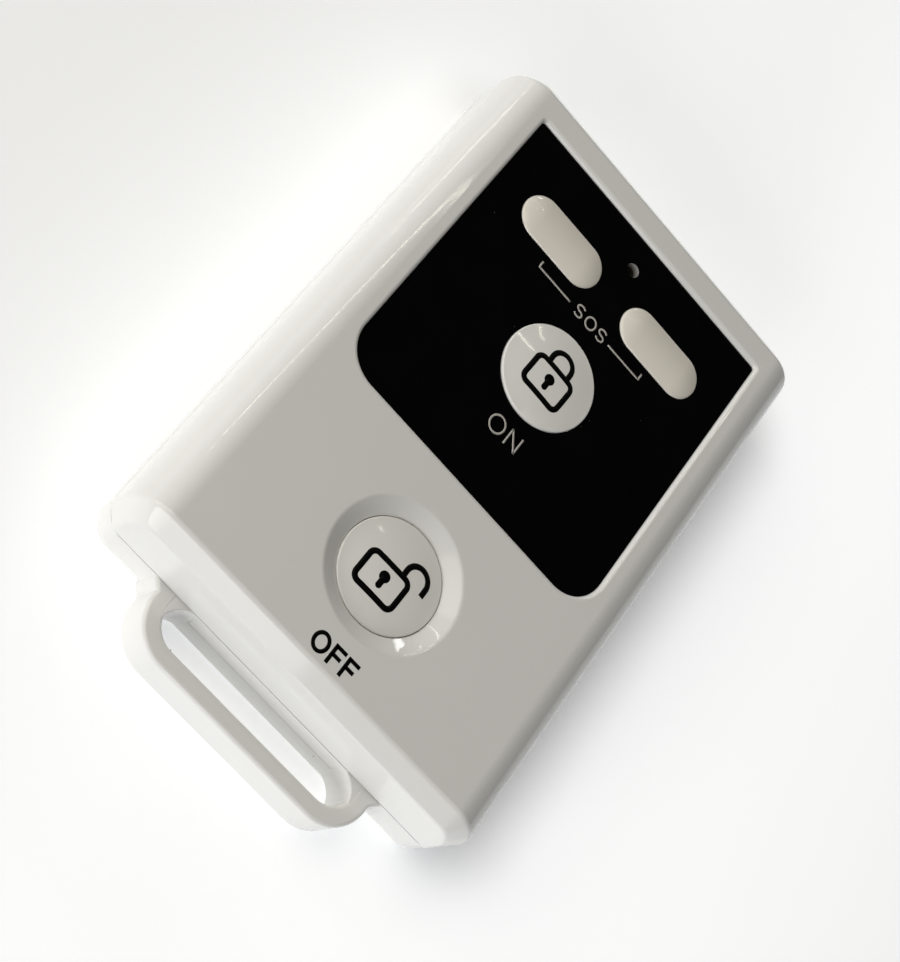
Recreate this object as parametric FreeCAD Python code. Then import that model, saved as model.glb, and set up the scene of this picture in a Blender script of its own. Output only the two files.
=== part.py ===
import FreeCAD, Part
import math
import os

V = FreeCAD.Vector
UP = V(0, 0, 1)

# Hand-held remote control, lying on its back. All sizes in millimetres.
# +Z leaves the front face, +Y runs to the SOS end, -Y to the strap loop, z = 0 is the back.

# Case
case_width = 40.0
case_length = 60.0
front_height = 6.4
rear_depth = 4.6
wall = 1.5
floor_thickness = 1.2
shoulder_across = 3.6
shoulder_down = 4.2
end_bevel = 1.5
face_crease_round = 0.8
wall_crease_round = 0.5
side_taper_deg = 5.0
end_taper_deg = 0.5
back_round = 2.0
shadow_gap = 0.1
shadow_depth = 0.3
lip_height = 1.0
lip_thickness = 0.7
lip_clearance = 0.1
lip_overlap = 0.3

# Strap loop on the rear case
loop_slot = 3.55
loop_band = 1.75
loop_from_side = 7.4
loop_outer_corner = 4.05
loop_inner_corner = 2.4
loop_back_step = 0.4
loop_edge_round = 0.4
root_flare = 0.85
root_overlap = 0.8

# Black panel, sunk into the face, and the moulded pad that carries it
panel_side_margin = 4.8
panel_low_margin = 23.0
panel_high_margin = 4.25
panel_thickness = 0.8
panel_sunk = 0.44
panel_low_corner = 3.6
panel_high_corner = 0.3
panel_clearance = 0.05
panel_rim_round = 0.45
pad_thickness = 1.2
pad_margin = 1.0

# Buttons
disarm_from_low_end = 12.1
sos_from_panel_high = 7.4
arm_below_sos = 11.25
sos_offset = 6.8
arm_key_radius = 4.9
disarm_key_radius = 5.0
sos_key_radius = 2.27
sos_key_straight = 5.3
key_clearance = 0.07
key_edge_round = 0.15
round_key_crown = 0.4
arm_key_stand = 0.1
sos_key_stand = 0.55
sos_crown_radius = 6.0
sos_edge_round = 0.25
flange_width = 0.65
flange_thickness = 0.7
flange_gap = 0.05
key_wall = 0.9
stem_radius = 1.3
travel = 0.3
stop_gap = 0.31

# Dished seat of the lower round button
dish_radius = 6.6
dish_depth = 0.8
dish_rim_round = 0.8

# Status lamp
lamp_from_panel_high = 3.35
lamp_hole_radius = 0.7
lamp_radius = 0.58
lamp_below_panel = 1.2
lamp_base = 2.2
lamp_base_height = 1.0

# Circuit board
board_thickness = 1.0
board_edge_gap = 0.35
board_corner = 2.2

# Push switches
switch_height = 1.6
switch_side = 6.0
sos_switch_side = 3.6
plunger_radius = 1.5
plunger_proud = 0.5
plunger_hidden = 0.55
plunger_clearance = 0.06
switch_leg_width = 0.7
switch_leg_thickness = 0.2
switch_leg_reach = 0.6

# Case screws
screw_from_side = 5.4
screw_from_low_end = 5.75
screw_from_high_end = 5.65
screw_radius = 1.0
screw_head_radius = 1.9
screw_head_height = 1.2
screw_length = 6.6
screw_slot_width = 0.5
screw_slot_length = 2.2
screw_slot_depth = 0.7
screw_head_depth = 0.35
screw_fit = 0.04
screw_passage = 0.15
screw_end_room = 0.4
boss_wall = 1.15
post_wall = 1.1
counterbore_clearance = 0.2

# Coin cell, its clip strap and its contact
cell_radius = 10.0
cell_thickness = 2.5
cell_from_low_end = 27.0
cell_cap_radius = 8.85
cell_cap_height = 0.35
cell_edge_round = 0.3
contact_radius = 7.0
contact_thickness = 0.2
contact_slot = 1.2
clip_thickness = 0.3
clip_width = 8.0
clip_clearance = 0.1
clip_foot = 2.0
cradle_gap = 0.6
cradle_wall = 0.8
cradle_height = 2.0

# Parts on the board
chip_length = 8.65
chip_width = 3.9
chip_height = 1.4
chip_pins = 7
chip_pitch = 1.27
pin_width = 0.4
pin_reach = 1.05
pin_thickness = 0.2
can_length = 5.0
can_width = 3.5
can_height = 1.4
can_corner = 0.6
transistor_length = 2.9
transistor_width = 1.3
transistor_height = 1.0
chip_part_length = 2.0
chip_part_width = 1.25
chip_part_height = 0.5
trace_width = 0.9
trace_thickness = 0.05
trace_edge_gap = 1.5

# Levels and places that follow from the sizes above
half_width = case_width / 2
parting = rear_depth
face = parting + front_height
loop_reach = loop_slot + loop_band
loop_half_width = half_width - loop_from_side
low_end = -(case_length + loop_reach) / 2 + loop_reach
high_end = low_end + case_length
panel_half_width = half_width - panel_side_margin
panel_low = low_end + panel_low_margin
panel_high = high_end - panel_high_margin
panel_top = face - panel_sunk
recess_floor = panel_top - panel_thickness
pad_bottom = recess_floor - pad_thickness
flange_top = pad_bottom - flange_gap
flange_bottom = flange_top - flange_thickness
switch_top = flange_bottom - travel - stop_gap
board_top = switch_top - switch_height
board_bottom = board_top - board_thickness
plunger_top = switch_top + plunger_proud
dish_floor = face - dish_depth
cell_top = board_bottom - contact_thickness
cell_bottom = cell_top - cell_thickness
screw_seat = screw_head_depth + screw_head_height
screw_tip = screw_seat + screw_length

disarm_place = (0.0, low_end + disarm_from_low_end)
sos_left_place = (-sos_offset, panel_high - sos_from_panel_high)
sos_right_place = (sos_offset, panel_high - sos_from_panel_high)
arm_place = (0.0, sos_left_place[1] - arm_below_sos)
lamp_place = (0.0, panel_high - lamp_from_panel_high)
cell_place = (0.0, low_end + cell_from_low_end)
screw_places = [
    (sx * (half_width - screw_from_side), y)
    for y in (low_end + screw_from_low_end, high_end - screw_from_high_end)
    for sx in (-1, 1)
]


def face_of(edges):
    return Part.Face(Part.Wire(edges))


def polygon_face(points):
    closed = [V(*p) for p in points]
    closed.append(closed[0])
    return Part.Face(Part.makePolygon(closed))


def fuse_all(shapes):
    body = shapes[0]
    for other in shapes[1:]:
        body = body.fuse(other)
    return body.removeSplitter()


def cylinder(radius, low, high, place):
    return Part.makeCylinder(radius, high - low, V(place[0], place[1], low), UP)


def block(x0, x1, y0, y1, z0, z1):
    return Part.makeBox(x1 - x0, y1 - y0, z1 - z0, V(x0, y0, z0))


def centred_block(length, width, height, x, y, z):
    return block(x - length / 2, x + length / 2, y - width / 2, y + width / 2, z, z + height)


def quarter(start, corner, end):
    """Exact elliptical quarter from start to end, turning round corner."""
    curve = Part.BezierCurve()
    curve.setPoles([start, corner, end])
    curve.setWeight(2, math.sqrt(0.5))
    return curve.toShape()


def round_corner(start, corner, end):
    """Circular arc from start to end round a right-angled corner."""
    centre = start + end - corner
    return Part.Arc(start, centre + (corner - centre) * math.sqrt(0.5), end).toShape()


def rounded_outline(x0, x1, y0, y1, low_radius, high_radius, z):
    """Rectangle with one corner radius at its low end and another at its high end."""
    a, b = low_radius, high_radius
    corners = [
        (V(x0 + a, y0, z), V(x0, y0, z), V(x0, y0 + a, z)),
        (V(x0, y1 - b, z), V(x0, y1, z), V(x0 + b, y1, z)),
        (V(x1 - b, y1, z), V(x1, y1, z), V(x1, y1 - b, z)),
        (V(x1, y0 + a, z), V(x1, y0, z), V(x1 - a, y0, z)),
    ]
    edges = []
    for i, (start, corner, end) in enumerate(corners):
        edges.append(round_corner(start, corner, end))
        following = corners[(i + 1) % len(corners)][0]
        edges.append(Part.makeLine(end, following))
    return face_of(edges)


def pill(radius, straight, low, high, place):
    """Upright block with a stadium outline, long way along X."""
    x, y = place
    h = straight / 2
    edges = [
        Part.makeLine(V(x - h, y - radius, low), V(x + h, y - radius, low)),
        Part.Arc(V(x + h, y - radius, low), V(x + h + radius, y, low), V(x + h, y + radius, low)).toShape(),
        Part.makeLine(V(x + h, y + radius, low), V(x - h, y + radius, low)),
        Part.Arc(V(x - h, y + radius, low), V(x - h - radius, y, low), V(x - h, y - radius, low)).toShape(),
    ]
    return face_of(edges).extrude(V(0, 0, high - low))


def octagon(inset_x, inset_y, cut, z):
    """Plan outline of the case, moved in from the walls, with its cut corners."""
    hx = half_width - inset_x
    y0 = low_end + inset_y
    y1 = high_end - inset_y
    points = [
        (-hx + cut, y0), (hx - cut, y0), (hx, y0 + cut), (hx, y1 - cut),
        (hx - cut, y1), (-hx + cut, y1), (-hx, y1 - cut), (-hx, y0 + cut),
    ]
    loop = [V(px, py, z) for px, py in points]
    loop.append(loop[0])
    return Part.makePolygon(loop)


def inner_cut(inset):
    """Corner cut that keeps the wall even when the outline moves in by inset."""
    return max(0.15, end_bevel - inset * (2 - math.sqrt(2)))


def shouldered_block(inset, top, base, bevel):
    """Block with convex elliptical shoulders, its end outlines bevelled all round."""
    hx = half_width - inset
    across = shoulder_across - inset
    down = shoulder_down - inset
    y0 = low_end + inset
    y1 = high_end - inset
    left = V(-hx, y0, top - down)
    right = V(hx, y0, top - down)
    edges = [
        Part.makeLine(V(-hx, y0, base), left),
        quarter(left, V(-hx, y0, top), V(-hx + across, y0, top)),
        Part.makeLine(V(-hx + across, y0, top), V(hx - across, y0, top)),
        quarter(V(hx - across, y0, top), V(hx, y0, top), right),
        Part.makeLine(right, V(hx, y0, base)),
        Part.makeLine(V(hx, y0, base), V(-hx, y0, base)),
    ]
    body = face_of(edges).extrude(V(0, y1 - y0, 0))
    ends = []
    for edge in body.Edges:
        box = edge.BoundBox
        at_end = box.YLength < 0.001
        on_base = box.ZMax < base + 0.001
        if at_end and not on_base:
            ends.append(edge)
    return body.makeChamfer(bevel, ends)


def soften(body, radius, chosen):
    """Round the chosen edges of a body."""
    edges = [edge for edge in body.Edges if chosen(edge)]
    return body.makeFillet(radius, edges)


def across_case(edge, from_end):
    """True for an edge that crosses the front case at this distance from either end."""
    box = edge.BoundBox
    if box.ZMax < parting + 0.001 or box.YLength > 0.01:
        return False
    return abs(box.YMin - low_end - from_end) < 0.01 or abs(box.YMax - high_end + from_end) < 0.01


def inner_crease(edge):
    return across_case(edge, end_bevel)


def outer_crease(edge):
    return across_case(edge, 0.0)


def on_panel_rim(edge):
    """True for the upper edges of the recess that takes the panel."""
    box = edge.BoundBox
    reach = panel_half_width + panel_clearance + 0.01
    above = box.ZMin > face - 0.001
    across = abs(box.XMin) < reach and abs(box.XMax) < reach
    along = box.YMin > panel_low - panel_clearance - 0.01 and box.YMax < panel_high + panel_clearance + 0.01
    return above and across and along


def dish_cut():
    """Conical seat round the lower button with a soft rim, open to the front."""
    mouth = disarm_key_radius + key_clearance
    x, y = disarm_place
    slope = math.atan2(dish_depth, dish_radius - mouth)
    t = dish_rim_round * math.tan(slope / 2)
    rim = V(x + dish_radius, y, face)
    down_slope = V(-math.cos(slope), 0, -math.sin(slope))
    start = rim + down_slope * t
    end = rim + V(t, 0, 0)
    centre = V(end.x, y, face - dish_rim_round)
    half = V(-math.sin(slope / 2), 0, math.cos(slope / 2))
    middle = centre + half * dish_rim_round
    above = face + 1.0
    edges = [
        Part.makeLine(V(x, y, dish_floor), V(x + mouth, y, dish_floor)),
        Part.makeLine(V(x + mouth, y, dish_floor), start),
        Part.Arc(start, middle, end).toShape(),
        Part.makeLine(end, V(end.x, y, above)),
        Part.makeLine(V(end.x, y, above), V(x, y, above)),
        Part.makeLine(V(x, y, above), V(x, y, dish_floor)),
    ]
    return face_of(edges).revolve(V(x, y, 0), UP, 360)


def make_front_case():
    outer = shouldered_block(0.0, face, parting, end_bevel)
    outer = soften(outer, face_crease_round, inner_crease)
    outer = soften(outer, wall_crease_round, outer_crease)
    cavity = shouldered_block(wall, face - wall, parting, inner_cut(wall))
    shell = outer.cut(cavity)

    hx = panel_half_width + pad_margin
    low = disarm_place[1] - dish_radius - pad_margin
    pad = block(-hx, hx, low, panel_high + pad_margin, pad_bottom, face).common(cavity)
    bosses = []
    for place in screw_places:
        bosses.append(cylinder(screw_radius + screw_fit + boss_wall, board_top, face, place).common(cavity))
    shell = fuse_all([shell, pad] + bosses)

    gap = panel_clearance
    recess = rounded_outline(
        -panel_half_width - gap, panel_half_width + gap, panel_low - gap, panel_high + gap,
        panel_low_corner + gap, panel_high_corner + gap, recess_floor,
    ).extrude(V(0, 0, face - recess_floor + 1.0))
    shell = soften(shell.cut(recess), panel_rim_round, on_panel_rim)
    shell = shell.cut(dish_cut())

    for radius, place in ((arm_key_radius, arm_place), (disarm_key_radius, disarm_place)):
        shell = shell.cut(cylinder(radius + key_clearance, pad_bottom - 1.0, face, place))
    for place in (sos_left_place, sos_right_place):
        shell = shell.cut(pill(sos_key_radius + key_clearance, sos_key_straight, pad_bottom - 1.0, face, place))
    shell = shell.cut(cylinder(lamp_hole_radius, pad_bottom - 1.0, face, lamp_place))
    for place in screw_places:
        shell = shell.cut(cylinder(screw_radius + screw_fit, board_top - 1.0, screw_tip + screw_end_room, place))

    outside = Part.Face(octagon(0.0, 0.0, end_bevel, parting))
    inside = Part.Face(octagon(shadow_depth, shadow_depth, inner_cut(shadow_depth), parting))
    rebate = outside.cut(inside).extrude(V(0, 0, shadow_gap))
    return shell.cut(rebate)


def tapered_block(inset, top, base):
    """Rear case form: cut corners and walls that lean in towards the back."""
    run_x = inset + (parting - base) * math.tan(math.radians(side_taper_deg))
    run_y = inset + (parting - base) * math.tan(math.radians(end_taper_deg))
    cut = end_bevel if inset == 0 else inner_cut(inset)
    upper = octagon(inset, inset, cut, top)
    lower = octagon(run_x, run_y, cut, base)
    return Part.makeLoft([lower, upper], True, True)


def make_loop():
    """Flat strap loop with flared roots, its slot across the end of the rear case."""
    y0 = low_end
    hx = loop_half_width
    r = loop_outer_corner
    bar = y0 - loop_reach
    z0 = loop_back_step
    d = r * (1 - math.sqrt(0.5))
    inside = y0 + root_overlap
    outline = [
        Part.makeLine(V(-hx - root_flare, inside, z0), V(-hx - root_flare, y0, z0)),
        Part.makeLine(V(-hx - root_flare, y0, z0), V(-hx, y0 - root_flare, z0)),
        Part.makeLine(V(-hx, y0 - root_flare, z0), V(-hx, bar + r, z0)),
        Part.Arc(V(-hx, bar + r, z0), V(-hx + d, bar + d, z0), V(-hx + r, bar, z0)).toShape(),
        Part.makeLine(V(-hx + r, bar, z0), V(hx - r, bar, z0)),
        Part.Arc(V(hx - r, bar, z0), V(hx - d, bar + d, z0), V(hx, bar + r, z0)).toShape(),
        Part.makeLine(V(hx, bar + r, z0), V(hx, y0 - root_flare, z0)),
        Part.makeLine(V(hx, y0 - root_flare, z0), V(hx + root_flare, y0, z0)),
        Part.makeLine(V(hx + root_flare, y0, z0), V(hx + root_flare, inside, z0)),
        Part.makeLine(V(hx + root_flare, inside, z0), V(-hx - root_flare, inside, z0)),
    ]
    loop = face_of(outline).extrude(V(0, 0, parting - z0))
    sx = hx - loop_band
    slot = rounded_outline(
        -sx, sx, y0 - loop_slot, y0 + root_overlap + 1.0, loop_inner_corner, 0.1, z0 - 1.0,
    ).extrude(V(0, 0, parting + 2.0))
    loop = loop.cut(slot)

    def rim(edge):
        box = edge.BoundBox
        return box.ZLength < 0.001 and box.YMin < inside - 0.001

    return soften(loop, loop_edge_round, rim)


def make_rear_case():
    outer = tapered_block(0.0, parting, 0.0)

    def below_parting(edge):
        return edge.BoundBox.ZMin < 0.001

    outer = soften(outer, back_round, below_parting)
    cavity = tapered_block(wall, parting, floor_thickness)
    shell = outer.fuse(make_loop().cut(outer)).removeSplitter()
    shell = shell.cut(cavity)

    outer_lip = wall + lip_clearance
    inner_lip = outer_lip + lip_thickness
    root = wall - lip_overlap
    inside = Part.Face(octagon(inner_lip, inner_lip, inner_cut(inner_lip), parting - lip_height))
    foot = Part.Face(octagon(root, root, inner_cut(root), parting - lip_height)).cut(inside)
    tongue = Part.Face(octagon(outer_lip, outer_lip, inner_cut(outer_lip), parting - lip_height)).cut(inside)
    lip = foot.extrude(V(0, 0, lip_height)).fuse(tongue.extrude(V(0, 0, 2 * lip_height)))

    ring = cylinder(cell_radius + cradle_gap + cradle_wall, floor_thickness - 0.2,
                    floor_thickness + cradle_height, cell_place)
    ring = ring.cut(cylinder(cell_radius + cradle_gap, 0, face, cell_place))
    reach = cell_radius + cradle_gap + cradle_wall + 1.0
    half_clip = clip_width / 2 + cradle_gap
    x, y = cell_place
    ring = ring.cut(block(x - reach, x + reach, y - half_clip, y + half_clip, 0, face))

    posts = []
    for place in screw_places:
        posts.append(cylinder(screw_head_radius + counterbore_clearance + post_wall,
                              floor_thickness - 0.2, board_bottom, place))
    shell = fuse_all([shell, lip, ring] + posts)
    for place in screw_places:
        head = screw_head_radius + counterbore_clearance
        shell = shell.cut(cylinder(head, -1.0, screw_seat, place))
        shell = shell.cut(cylinder(screw_radius + screw_passage, 0, board_bottom + 1.0, place))
    return shell


def make_panel():
    panel = rounded_outline(
        -panel_half_width, panel_half_width, panel_low, panel_high,
        panel_low_corner, panel_high_corner, recess_floor,
    ).extrude(V(0, 0, panel_thickness))
    panel = panel.cut(cylinder(arm_key_radius + key_clearance, recess_floor - 1.0, face, arm_place))
    for place in (sos_left_place, sos_right_place):
        panel = panel.cut(pill(sos_key_radius + key_clearance, sos_key_straight, recess_floor - 1.0, face, place))
    return panel.cut(cylinder(lamp_hole_radius, recess_floor - 1.0, face, lamp_place))


def make_round_key(place, radius, edge_level):
    """Hollow round cap: crowned top, retaining flange, centre stem on the plunger."""
    x, y = place
    r = radius
    e = key_edge_round
    shelf = edge_level + e
    top = shelf + round_key_crown
    chord = r - e
    sphere = (chord ** 2 + round_key_crown ** 2) / (2 * round_key_crown)
    middle = top - sphere + math.sqrt(sphere ** 2 - (chord / 2) ** 2)
    k = e * math.sqrt(0.5)
    under = shelf - key_wall
    edges = [
        Part.Arc(V(x, y, top), V(x + chord / 2, y, middle), V(x + chord, y, shelf)).toShape(),
        Part.Arc(V(x + chord, y, shelf), V(x + r - e + k, y, edge_level + k), V(x + r, y, edge_level)).toShape(),
        Part.makeLine(V(x + r, y, edge_level), V(x + r, y, flange_top)),
        Part.makeLine(V(x + r, y, flange_top), V(x + r + flange_width, y, flange_top)),
        Part.makeLine(V(x + r + flange_width, y, flange_top), V(x + r + flange_width, y, flange_bottom)),
        Part.makeLine(V(x + r + flange_width, y, flange_bottom), V(x + r - key_wall, y, flange_bottom)),
        Part.makeLine(V(x + r - key_wall, y, flange_bottom), V(x + r - key_wall, y, under)),
        Part.makeLine(V(x + r - key_wall, y, under), V(x + stem_radius, y, under)),
        Part.makeLine(V(x + stem_radius, y, under), V(x + stem_radius, y, plunger_top)),
        Part.makeLine(V(x + stem_radius, y, plunger_top), V(x, y, plunger_top)),
        Part.makeLine(V(x, y, plunger_top), V(x, y, top)),
    ]
    return face_of(edges).revolve(V(x, y, 0), UP, 360)


def make_sos_key(place):
    """Hollow pill-shaped cap with a pillowed top."""
    x, y = place
    top = panel_top + sos_key_stand
    axis = top - sos_crown_radius
    roof = Part.makeCylinder(
        sos_crown_radius, sos_key_straight, V(x - sos_key_straight / 2, y, axis), V(1, 0, 0))
    for side in (-1, 1):
        centre = V(x + side * sos_key_straight / 2, y, axis)
        roof = roof.fuse(Part.makeSphere(sos_crown_radius, centre, V(1, 0, 0)))
    cap = pill(sos_key_radius, sos_key_straight, flange_bottom, top, place).common(roof)
    rim = axis + math.sqrt(sos_crown_radius ** 2 - sos_key_radius ** 2)

    def crown(edge):
        return edge.BoundBox.ZLength < 0.001 and abs(edge.BoundBox.ZMin - rim) < 0.001

    cap = soften(cap, sos_edge_round, crown)
    flange = pill(sos_key_radius + flange_width, sos_key_straight, flange_bottom, flange_top, place)
    hollow = pill(sos_key_radius - key_wall, sos_key_straight, flange_bottom - 1.0, top - key_wall, place)
    stem = cylinder(stem_radius, plunger_top, top - key_wall, place)
    body = cap.fuse(flange).cut(hollow)
    return fuse_all([body, stem])


def make_switch(place, width):
    """Low push switch: body with a plunger bore and four solder legs."""
    x, y = place
    body = centred_block(switch_side, width, switch_height, x, y, board_top)

    def upright(edge):
        return edge.BoundBox.ZLength > switch_height * 0.9

    body = soften(body, 0.3, upright)
    depth = plunger_hidden + travel + 0.3
    body = body.cut(cylinder(plunger_radius + plunger_clearance, switch_top - depth, switch_top + 1.0, place))
    legs = []
    for sx in (-1, 1):
        for sy in (-1, 1):
            lx = x + sx * (switch_side / 2 + switch_leg_reach / 2 - 0.2)
            ly = y + sy * (width / 2 - switch_leg_width)
            legs.append(centred_block(
                switch_leg_reach + 0.4, switch_leg_width, switch_leg_thickness, lx, ly, board_top))
    return fuse_all([body] + legs)


def make_plunger(place):
    body = cylinder(plunger_radius, switch_top - plunger_hidden, plunger_top, place)

    def crown(edge):
        return edge.BoundBox.ZMin > plunger_top - 0.001

    return soften(body, 0.15, crown)


def make_lamp():
    x, y = lamp_place
    base = centred_block(lamp_base, lamp_base, lamp_base_height, x, y, board_top)
    level = panel_top - lamp_below_panel
    column = cylinder(lamp_radius, board_top + lamp_base_height, level - lamp_radius, lamp_place)
    dome = Part.makeSphere(lamp_radius, V(x, y, level - lamp_radius), UP, 0, 90, 360)
    return fuse_all([base, column, dome])


def make_board():
    inset = wall + lip_clearance + lip_thickness + board_edge_gap
    board = Part.Face(octagon(inset, inset, board_corner, board_bottom)).extrude(V(0, 0, board_thickness))
    for place in screw_places:
        board = board.cut(cylinder(screw_radius + screw_passage, board_bottom - 1.0, board_top + 1.0, place))
    return board


def make_screw(place):
    x, y = place
    r = screw_radius
    points = [
        (x, y, screw_head_depth), (x + screw_head_radius - 0.3, y, screw_head_depth),
        (x + screw_head_radius, y, screw_head_depth + 0.3), (x + screw_head_radius, y, screw_seat),
        (x + r, y, screw_seat), (x + r, y, screw_tip - r * 0.8), (x + 0.2, y, screw_tip), (x, y, screw_tip),
    ]
    screw = polygon_face(points).revolve(V(x, y, 0), UP, 360)
    depth = screw_head_depth + screw_slot_depth
    long_slot = centred_block(screw_slot_length, screw_slot_width, depth, x, y, 0)
    cross_slot = centred_block(screw_slot_width, screw_slot_length, depth, x, y, 0)
    return screw.cut(long_slot.fuse(cross_slot))


def make_cell():
    x, y = cell_place
    shoulder = cell_top - cell_cap_height
    e = cell_edge_round
    points = [
        (x, y, cell_bottom), (x + cell_radius - e, y, cell_bottom), (x + cell_radius, y, cell_bottom + e),
        (x + cell_radius, y, shoulder - e), (x + cell_radius - e, y, shoulder),
        (x + cell_cap_radius, y, shoulder), (x + cell_cap_radius - e, y, cell_top), (x, y, cell_top),
    ]
    return polygon_face(points).revolve(V(x, y, 0), UP, 360)


def make_contact():
    """Four-armed contact plate on the underside of the board."""
    plate = cylinder(contact_radius, cell_top, board_bottom, cell_place)
    x, y = cell_place
    for sx in (-1, 1):
        for sy in (-1, 1):
            cx = x + sx * (contact_slot / 2 + contact_radius / 2 + 1.0)
            cy = y + sy * (contact_slot / 2 + contact_radius / 2 + 1.0)
            side = contact_radius
            plate = plate.cut(centred_block(side, side, board_bottom, cx, cy, 0))
    return plate


def make_clip():
    """Bent strap that holds the cell against the board, with soldered feet."""
    x, y = cell_place
    t = clip_thickness
    inner = cell_radius + clip_clearance
    outer = inner + t
    foot = outer + clip_foot
    z0 = cell_bottom - t
    z1 = board_bottom
    y0 = y - clip_width / 2
    points = [
        (x - outer, y0, z0), (x + outer, y0, z0), (x + outer, y0, z1 - t), (x + foot, y0, z1 - t),
        (x + foot, y0, z1), (x + inner, y0, z1), (x + inner, y0, cell_bottom), (x - inner, y0, cell_bottom),
        (x - inner, y0, z1), (x - foot, y0, z1), (x - foot, y0, z1 - t), (x - outer, y0, z1 - t),
    ]
    strap = polygon_face(points).extrude(V(0, clip_width, 0))

    def bend(edge):
        box = edge.BoundBox
        return box.YLength > clip_width * 0.9 and box.ZMax < z0 + 0.001

    return soften(strap, t * 0.8, bend)


def make_chip(x, y):
    body = centred_block(chip_length, chip_width, chip_height - 0.1, x, y, board_top + 0.1)
    parts = [body]
    first = -(chip_pins - 1) / 2 * chip_pitch
    for i in range(chip_pins):
        px = x + first + i * chip_pitch
        for sy in (-1, 1):
            edge = y + sy * chip_width / 2
            tip = edge + sy * pin_reach
            bend = edge + sy * pin_reach * 0.4
            low, high = sorted((edge - sy * 0.2, bend))
            parts.append(block(px - pin_width / 2, px + pin_width / 2, low, high,
                               board_top + chip_height / 2, board_top + chip_height / 2 + pin_thickness))
            low, high = sorted((bend, bend - sy * pin_thickness))
            parts.append(block(px - pin_width / 2, px + pin_width / 2, low, high,
                               board_top, board_top + chip_height / 2 + pin_thickness))
            low, high = sorted((bend - sy * pin_thickness, tip))
            parts.append(block(px - pin_width / 2, px + pin_width / 2, low, high,
                               board_top, board_top + pin_thickness))
    return fuse_all(parts)


def make_can(x, y):
    body = centred_block(can_length, can_width, can_height, x, y, board_top)

    def upright(edge):
        return edge.BoundBox.ZLength > can_height * 0.9

    return soften(body, can_corner, upright)


def make_transistor(x, y):
    body = centred_block(transistor_length, transistor_width, transistor_height - 0.1, x, y, board_top + 0.1)
    parts = [body]
    for px, sy in ((-0.95, -1), (0.95, -1), (0.0, 1)):
        edge = y + sy * transistor_width / 2
        low, high = sorted((edge - sy * 0.2, edge + sy * 0.5))
        parts.append(block(x + px - pin_width / 2, x + px + pin_width / 2, low, high,
                           board_top, board_top + pin_thickness))
    return fuse_all(parts)


def make_trace():
    """Printed aerial: a U of copper along the two long edges of the board."""
    hx = half_width - wall - lip_clearance - lip_thickness - board_edge_gap - trace_edge_gap + trace_width / 2
    low = screw_places[0][1] + screw_radius + boss_wall + trace_width
    high = (arm_place[1] + sos_left_place[1]) / 2 + trace_width + 0.6
    z0, z1 = board_top, board_top + trace_thickness
    w = trace_width
    left = block(-hx, -hx + w, low, high, z0, z1)
    right = block(hx - w, hx, low, high, z0, z1)
    across = block(-hx, hx, high - w, high, z0, z1)
    return fuse_all([left, right, across])


def make_chip_part(x, y):
    return centred_block(chip_part_length, chip_part_width, chip_part_height, x, y, board_top)


os.makedirs("parts", exist_ok=True)

board_mid = (arm_place[1] + disarm_place[1]) / 2
side_x = switch_side / 2 + switch_leg_reach + chip_part_length + 2.0

pieces = {
    "front_case": make_front_case(),
    "rear_case": make_rear_case(),
    "overlay_panel": make_panel(),
    "arm_button": make_round_key(arm_place, arm_key_radius, panel_top + arm_key_stand),
    "disarm_button": make_round_key(disarm_place, disarm_key_radius, dish_floor),
    "sos_button_left": make_sos_key(sos_left_place),
    "sos_button_right": make_sos_key(sos_right_place),
    "status_led": make_lamp(),
    "circuit_board": make_board(),
    "arm_switch": make_switch(arm_place, switch_side),
    "disarm_switch": make_switch(disarm_place, switch_side),
    "sos_switch_left": make_switch(sos_left_place, sos_switch_side),
    "sos_switch_right": make_switch(sos_right_place, sos_switch_side),
    "arm_plunger": make_plunger(arm_place),
    "disarm_plunger": make_plunger(disarm_place),
    "sos_plunger_left": make_plunger(sos_left_place),
    "sos_plunger_right": make_plunger(sos_right_place),
    "code_chip": make_chip(0.0, board_mid),
    "resonator": make_can(side_x + 1.6, board_mid),
    "radio_transistor": make_transistor(side_x + 1.6, board_mid - can_width - 1.0),
    "antenna_trace": make_trace(),
    "coin_cell": make_cell(),
    "cell_clip": make_clip(),
    "cell_contact": make_contact(),
    "case_screws": Part.makeCompound([make_screw(place) for place in screw_places]),
    "code_resistor": make_chip_part(-side_x, board_mid + 3.0),
    "bias_resistor": make_chip_part(-side_x, board_mid),
    "lamp_resistor": make_chip_part(lamp_base / 2 + chip_part_length / 2 + 0.8, lamp_place[1]),
    "supply_capacitor": make_chip_part(-side_x, board_mid - 3.0),
    "tuning_capacitor": make_chip_part(side_x, board_mid + can_width + 0.5),
}

for name, shape in pieces.items():
    shape.exportStep(os.path.join("parts", name + ".step"))
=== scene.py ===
import math
import random

import bpy
from mathutils import Euler, Matrix, Vector


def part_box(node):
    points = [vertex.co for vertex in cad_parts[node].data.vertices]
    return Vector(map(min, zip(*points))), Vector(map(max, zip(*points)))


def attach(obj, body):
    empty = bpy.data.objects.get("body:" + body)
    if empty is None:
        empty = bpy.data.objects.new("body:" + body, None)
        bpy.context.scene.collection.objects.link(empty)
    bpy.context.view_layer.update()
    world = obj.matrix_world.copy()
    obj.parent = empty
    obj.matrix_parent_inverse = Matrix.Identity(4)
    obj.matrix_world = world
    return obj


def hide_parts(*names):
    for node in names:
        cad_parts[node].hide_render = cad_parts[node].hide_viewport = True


bl_info = {
    "name": "Alarm Remote Control",
    "version": (1, 0, 0),
    "blender": (4, 5, 0),
    "location": "3D View > Sidebar > Remote",
    "description": "Finishes, printed symbols and studio for a four-button alarm remote control",
    "category": "Object",
}

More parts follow.
